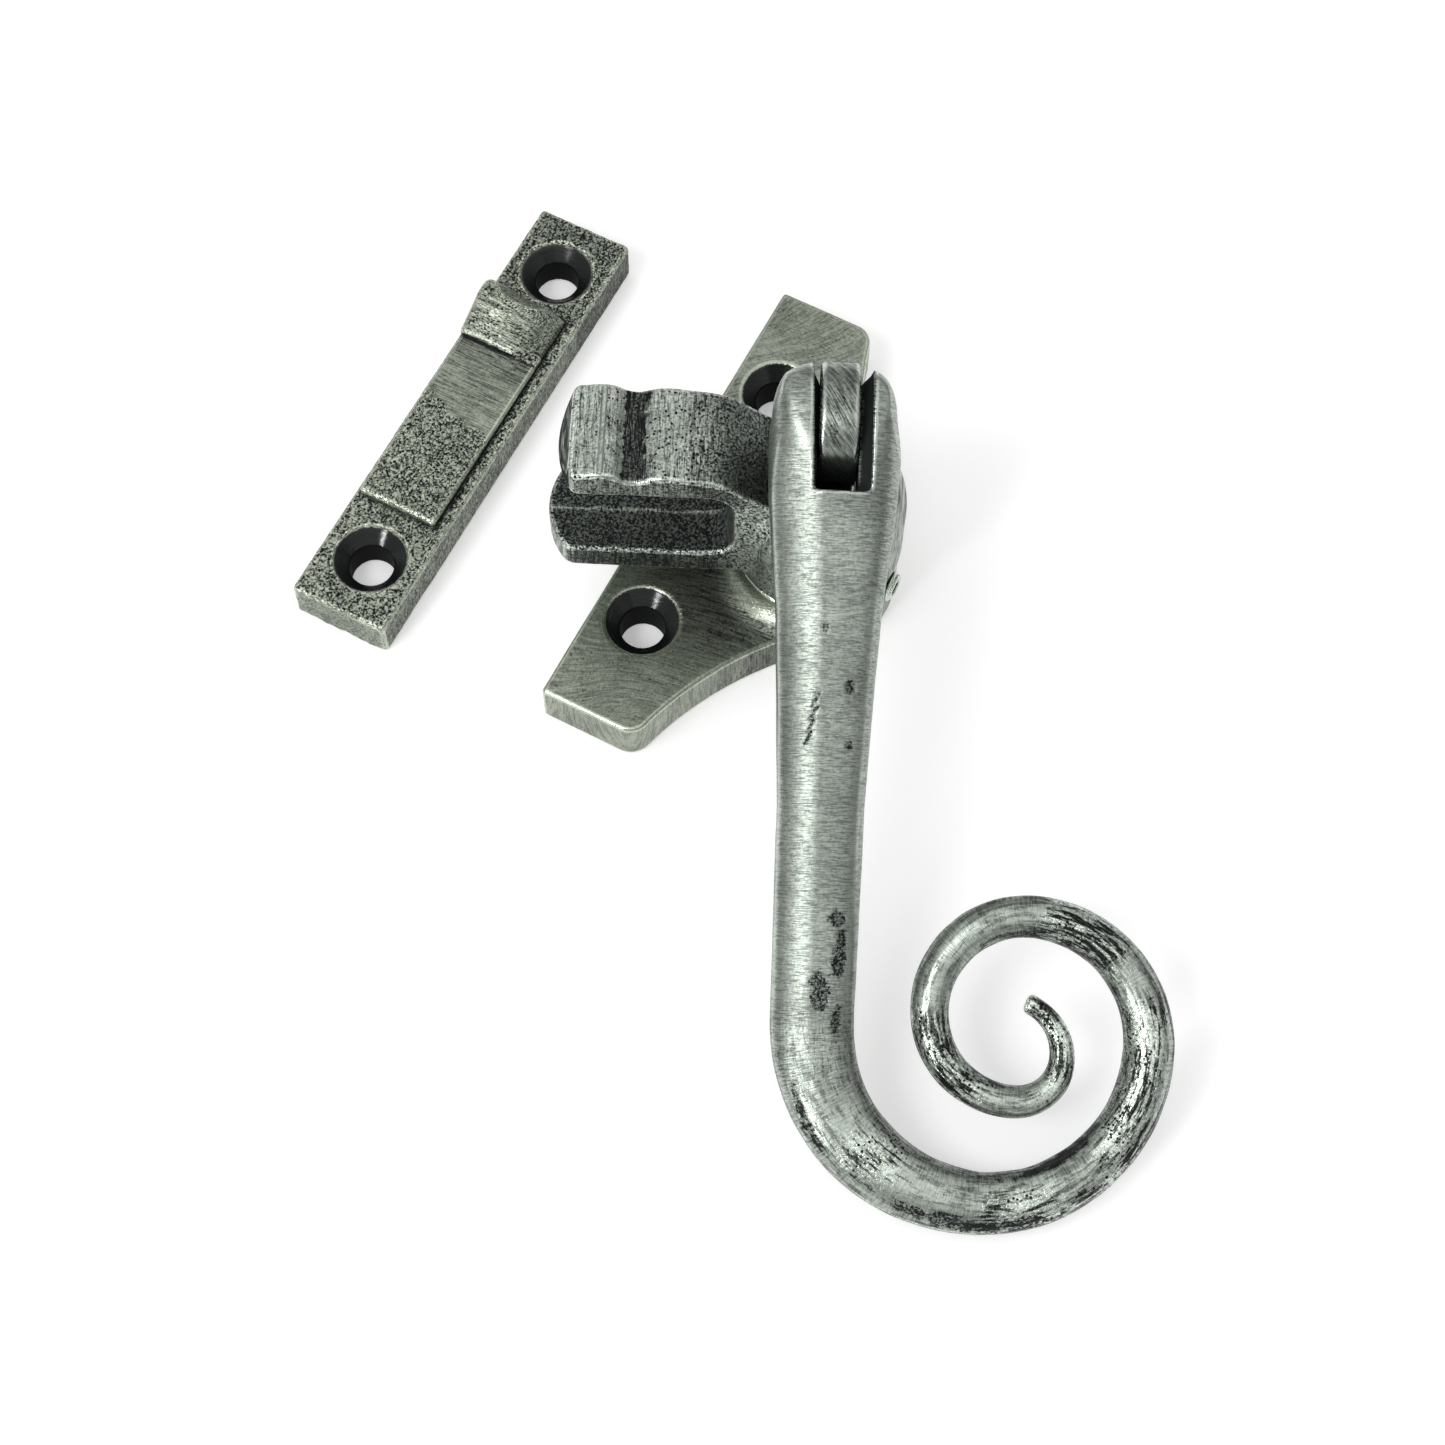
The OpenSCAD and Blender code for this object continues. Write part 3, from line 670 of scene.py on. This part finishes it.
arm_place = Matrix.Rotation(ARM_TURN, 4, "Z")
handle_place = Matrix.Translation(pin_place) @ arm_place @ Matrix.Rotation(DROOP, 4, "X")
hook_place = Matrix.Translation((HOOK_MIDDLE[0] * MM, HOOK_MIDDLE[1] * MM, 0))
screw_place = Matrix.Translation((0, 0, LOCK_Z * MM))

plate = mesh_of("base_plate_skin", plate_field, plate_low, plate_high, GRID, Matrix.Identity(4), plate_skin)
hook = mesh_of("hook_plate_skin", hook_field, (-HOOK_HALF_X, -HOOK_HALF_Y, 0),
               (HOOK_HALF_X, HOOK_HALF_Y, HOOK_THICK + STOP_RISE), GRID, hook_place, hook_skin)
nose = mesh_of("nose_arm_skin", nose_field, (-LOW_REACH, -HUB_R, HUB_BOTTOM),
               (HUB_R, HUB_R, PIN_Z + KNUCKLE_R), GRID, arm_place, nose_skin)
handle = mesh_of("handle_skin", handle_field, HANDLE_LOW, HANDLE_HIGH, HANDLE_GRID, handle_place,
                 handle_skin)
screw = mesh_of("locking_screw_skin", screw_field, (screw_low[0], screw_low[1], screw_low[2] - LOCK_Z),
                (screw_high[0], screw_high[1], screw_high[2] - LOCK_Z), SCREW_GRID, screw_place, screw_skin)
for piece, body, node, slot in ((plate, "plate", "base_plate", "ground_pewter"),
                                (hook, "hook_plate", "hook_plate", "cast_pewter"),
                                (nose, "nose", "nose_arm", "cast_pewter"),
                                (handle, "handle", "handle", "forged_pewter"),
                                (screw, "locking_screw", "locking_screw", "dark_steel")):
    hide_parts(node)
    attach(piece, body)


# ---------------------------------------------------------------- materials
class Shade:
    """A material's node tree, with short ways to add to it. Lengths are in millimetres."""

    def __init__(self, name):
        self.material = bpy.data.materials.new(name)
        self.material.use_nodes = True
        self.tree = self.material.node_tree
        self.metal = self.tree.nodes["Principled BSDF"]

    def feed(self, node, socket, value):
        if isinstance(value, bpy.types.NodeSocket):
            self.tree.links.new(value, node.inputs[socket])
        else:
            node.inputs[socket].default_value = value

    def add(self, kind, inputs, out=0, **settings):
        node = self.tree.nodes.new("ShaderNode" + kind)
        for key, value in settings.items():
            setattr(node, key, value)
        for socket, value in inputs.items():
            self.feed(node, socket, value)
        return node.outputs[out]

    def named(self, name, out="Fac"):
        return self.add("Attribute", {}, out, attribute_name=name)

    def sum(self, *terms):
        total = terms[0]
        for term in terms[1:]:
            total = self.add("Math", {0: total, 1: term}, operation="ADD")
        return total

    def times(self, a, b):
        return self.add("Math", {0: a, 1: b}, operation="MULTIPLY")

    def distance(self, a, b):
        gap = self.add("Math", {0: a, 1: b}, operation="SUBTRACT")
        return self.add("Math", {0: gap}, operation="ABSOLUTE")

    def ramp(self, value, start, end, low=0.0, high=1.0):
        """low below start, high above end and smooth between them."""
        inputs = {"Value": value, 1: start, 2: end, 3: low, 4: high}
        if start > end:
            inputs = {"Value": value, 1: end, 2: start, 3: high, 4: low}
        return self.add("MapRange", inputs, interpolation_type="SMOOTHSTEP")

    def noise(self, place, size, detail=3.0, rough=0.55):
        """Noise whose lumps have the given sizes along the grain's three directions."""
        scaled = self.add("VectorMath", {0: place, 1: tuple(1 / s for s in size)}, operation="MULTIPLY")
        return self.add("TexNoise", {"Vector": scaled, "Scale": 1.0, "Detail": detail, "Roughness": rough})

    def blend(self, share, a, b):
        return self.add("Mix", {0: share, 6: a, 7: b}, 2, data_type="RGBA")


BRIGHT = (0.43, 0.475, 0.425, 1)
OLIVE = (0.435, 0.475, 0.39, 1)
SHADE = (0.018, 0.020, 0.020, 1)
BLACK = (0.008, 0.009, 0.009, 1)


def pewter(name, colour, tone, line, scratch):
    """Cast or forged iron, blackened, ground back to bright metal and waxed. tone is how bright the metal
    is, line how long its scratches are and scratch how dark they are."""
    s = Shade(name)
    grain = s.named("grain", "Vector")
    cast, dirt_and_shade, black, bend, polish_and_highlight = (s.named(key) for key in ("cast", "dirt_and_shade", "black", "bend", "polish_and_highlight"))
    cloud = s.noise(grain, (7.0, 7.0, 7.0), 2.0)
    speckle = s.noise(grain, (0.34, 0.34, 0.34), 3.0, 0.6)
    worms = s.noise(grain, (0.62, 0.62, 0.62), 1.5, 0.5)
    fine = s.noise(grain, (0.085, line * 0.6, line * 0.6), 2.0, 0.6)
    coarse = s.noise(grain, (0.13 + 0.035 * line, line, line), 2.0, 0.6)
    # Convex edges are lighter and smoother: worn bright, with a painted highlight.
    edge = s.ramp(bend, 0.4, 1.5)
    # Concave creases are darker: patina kept in the hollows, with painted shade.
    crevice = s.ramp(bend, -0.25, -1.4)
    crack = s.times(s.ramp(s.distance(worms, 0.5), 0.05, 0.005), cast)
    specks = s.times(s.ramp(speckle, 0.47, 0.4), cast)
    spots = s.add("TexVoronoi", {"Vector": grain, "Scale": 1.8, "Randomness": 1.0})
    cluster = s.ramp(s.noise(grain, (3.2, 3.2, 3.2), 2.0), 0.47, 0.56)
    pitted = s.sum(s.times(cluster, s.ramp(cast, 0.03, 0.3)), s.times(cast, 0.3))
    pits = s.times(s.ramp(spots, 0.34, 0.24), pitted)
    bare = s.ramp(cast, 0.75, 0.3)
    streak = s.sum(s.times(s.noise(grain, (3.2, 0.5, 0.5), 4.0, 0.72), 0.8), s.times(cloud, 0.2))
    forge = s.named("forge")
    streaks = s.times(s.ramp(streak, 0.485, 0.445), forge)
    bare = s.times(bare, s.ramp(forge, 0.1, 0.8, 1.0, 0.35))
    line_mix = s.sum(s.times(fine, 0.55), s.times(coarse, 0.45))
    lines = s.times(s.ramp(line_mix, 0.56, 0.42, 0.0, scratch), bare)
    dark = s.sum(s.times(crack, 1.1), s.times(specks, 0.7), s.times(pits, 0.95), lines, dirt_and_shade, streaks,
                 s.times(crevice, 0.6), s.times(edge, -0.45), s.times(polish_and_highlight, -0.2))
    dark = s.add("Clamp", {"Value": dark})
    grit = s.times(s.ramp(speckle, 0.42, 0.6, -0.2, 0.5), s.ramp(cast, 0.0, 0.5, 0.3, 1.0))
    shine = s.times(s.ramp(cloud, 0.3, 0.7, 0.85 * tone, 1.1 * tone), s.sum(grit, 1.0))
    rubbed = s.times(s.ramp(streak, 0.48, 0.56), s.times(forge, 0.6))
    shine = s.sum(shine, s.times(edge, 0.3), s.times(polish_and_highlight, 0.35), rubbed)
    bright = s.add("HueSaturation", {"Value": shine, "Color": colour})
    s.feed(s.metal, "Base Color", s.blend(black, s.blend(dark, bright, SHADE), BLACK))
    # Where the dirt value is near 1, mostly painted shade in slots, bores, the socket and under the head, the
    # metal turns to a dull black that does not reflect.
    blackest = s.ramp(dirt_and_shade, 0.85, 0.97)
    s.feed(s.metal, "Metallic", s.ramp(s.sum(blackest, black), 0, 1, 1.0, 0.0))
    s.feed(s.metal, "Specular IOR Level", s.ramp(blackest, 0, 1, 0.5, 0.05))
    rough = s.sum(s.ramp(dark, 0, 1, 0.36, 0.5), s.times(edge, -0.1), s.times(black, -0.25),
                  s.times(blackest, 0.4), s.times(polish_and_highlight, -0.1), s.times(forge, -0.12))
    s.feed(s.metal, "Roughness", rough)
    rings = s.noise(s.add("TexCoord", {}, "Object"), (9 * MM, 9 * MM, 0.22 * MM))
    height = s.sum(s.times(crack, -0.06), s.times(streaks, -0.05), s.times(s.times(speckle, cast), 0.16),
                   s.times(pits, -0.06), s.times(s.times(fine, bare), 0.012),
                   s.times(s.times(coarse, bare), 0.03), s.times(s.times(rings, black), 0.035))
    s.feed(s.metal, "Normal", s.add("Bump", {"Height": height, "Distance": MM, "Strength": 0.9}))
    return s.material


def plain_steel(name, colour, rough):
    """Turned or rolled steel, with fine marks all round."""
    s = Shade(name)
    place = s.add("TexCoord", {}, "Object")
    place = s.add("VectorMath", {0: place, 1: (1 / MM,) * 3}, operation="MULTIPLY")
    marks = s.noise(place, (2.5, 2.5, 0.08))
    spots = s.noise(place, (0.6, 0.6, 0.6))
    dark = s.ramp(s.sum(s.times(marks, 0.5), s.times(spots, 0.5)), 0.45, 0.3)
    s.feed(s.metal, "Base Color", s.blend(dark, colour, SHADE))
    s.feed(s.metal, "Metallic", 1.0)
    s.feed(s.metal, "Roughness", s.ramp(marks, 0.3, 0.7, rough - 0.06, rough + 0.1))
    height = s.times(marks, 0.01)
    s.feed(s.metal, "Normal", s.add("Bump", {"Height": height, "Distance": MM, "Strength": 0.5}))
    return s.material


ground = pewter("ground_pewter", OLIVE, 0.72, 5.0, 0.42)
rough_bar = pewter("rough_pewter", OLIVE, 0.85, 4.0, 0.6)
cast_metal = pewter("cast_pewter", BRIGHT, 0.86, 4.0, 0.75)
forged = pewter("forged_pewter", BRIGHT, 0.82, 1.8, 0.52)
polished = plain_steel("polished_steel", (0.62, 0.63, 0.62, 1), 0.2)
spring = plain_steel("spring_steel", (0.35, 0.36, 0.37, 1), 0.3)
dark_steel = plain_steel("dark_steel", (0.09, 0.092, 0.09, 1), 0.38)
for piece, metal in ((plate, ground), (hook, rough_bar), (nose, cast_metal), (handle, forged),
                     (screw, cast_metal)):
    piece.data.materials.append(metal)
finishes = {"thrust_washer": polished, "spindle": polished, "spring_washer": spring,
            "hinge_pin": dark_steel, "retaining_washer": dark_steel}
for node, metal in finishes.items():
    mesh = frame["nodes"][node].data
    mesh.materials.clear()
    mesh.materials.append(metal)


# ---------------------------------------------------------------- floor, light and camera
CAMERA_AZIMUTH = math.radians(26.45)
CAMERA_ELEVATION = math.radians(65.23)
CAMERA_ROLL = math.radians(1.24)
CAMERA_TARGET = Vector((-0.94, -23.26, 0)) * MM
CAMERA_DISTANCE = 347.6 * MM
CAMERA_LENS = 70.14
FLOOR_HALF, FLOOR_DROP, FLOOR_GLOW = 3.0, 0.2 * MM, 0.3
# The sky is dim below the first height, bright above the second
SKY_HEIGHTS, SKY_STRENGTHS = (0.2, 0.95), (0.3, 1.0)
LIGHT_DISTANCE = 0.75
# Name, turn from the camera and elevation in degrees, size in metres and power in watts
LIGHTS = (("key", -50, 54, 0.24, 1.4), ("front", -41, 21.5, 0.12, 1.3))


def toward(azimuth, elevation):
    """Unit direction from the object to a place round it. Azimuth 0 is in front, at -Y."""
    flat = math.cos(elevation)
    return Vector((math.sin(azimuth) * flat, -math.cos(azimuth) * flat, math.sin(elevation)))


def link(name, data, place=(0, 0, 0), facing=None):
    """Put an object in the scene, with its back turned to a direction."""
    obj = bpy.data.objects.new(name, data)
    obj.location = place
    if facing:
        obj.rotation_mode = "QUATERNION"
        obj.rotation_quaternion = facing.to_track_quat("Z", "Y")
    bpy.context.scene.collection.objects.link(obj)
    return obj


def floor():
    """A wide pale sheet, lit a little from within so that shadows on it stay faint."""
    half = FLOOR_HALF
    mesh = bpy.data.meshes.new("floor")
    corners = [(-half, -half, 0), (half, -half, 0), (half, half, 0), (-half, half, 0)]
    mesh.from_pydata(corners, [], [(0, 1, 2, 3)])
    s = Shade("pale_floor")
    s.feed(s.metal, "Base Color", (0.9, 0.9, 0.9, 1))
    s.feed(s.metal, "Roughness", 0.9)
    s.feed(s.metal, "Emission Color", (1, 1, 1, 1))
    s.feed(s.metal, "Emission Strength", FLOOR_GLOW)
    mesh.materials.append(s.material)
    link("floor", mesh, (0, 0, -FLOOR_DROP))


def studio():
    """A sky that is brightest overhead, a key light and a small low light for glints."""
    world = bpy.data.worlds.new("studio")
    bpy.context.scene.world = world
    world.use_nodes = True
    nodes, links = world.node_tree.nodes, world.node_tree.links
    nodes["Background"].inputs["Color"].default_value = (1, 1, 1, 1)
    place = nodes.new("ShaderNodeTexCoord")
    height = nodes.new("ShaderNodeSeparateXYZ")
    strength = nodes.new("ShaderNodeMapRange")
    strength.interpolation_type = "SMOOTHSTEP"
    for socket, value in enumerate(SKY_HEIGHTS + SKY_STRENGTHS, 1):
        strength.inputs[socket].default_value = value
    links.new(place.outputs["Generated"], height.inputs[0])
    links.new(height.outputs["Z"], strength.inputs["Value"])
    links.new(strength.outputs["Result"], nodes["Background"].inputs["Strength"])
    for name, turn, elevation, size, power in LIGHTS:
        light = bpy.data.lights.new(name, "AREA")
        light.size = size
        light.energy = power
        direction = toward(CAMERA_AZIMUTH + math.radians(turn), math.radians(elevation))
        link(name, light, direction * LIGHT_DISTANCE, direction)


def camera():
    """The view: azimuth and elevation round a point on the floor, with a slight roll."""
    back = toward(CAMERA_AZIMUTH, CAMERA_ELEVATION)
    data = bpy.data.cameras.new("camera")
    data.sensor_width = 36
    data.lens = CAMERA_LENS
    data.clip_start = 0.01
    obj = link("camera", data, CAMERA_TARGET + back * CAMERA_DISTANCE, back)
    obj.rotation_quaternion = obj.rotation_quaternion @ Quaternion((0, 0, 1), CAMERA_ROLL)
    bpy.context.scene.camera = obj


floor()
studio()
camera()
bpy.context.scene.view_settings.view_transform = "Standard"
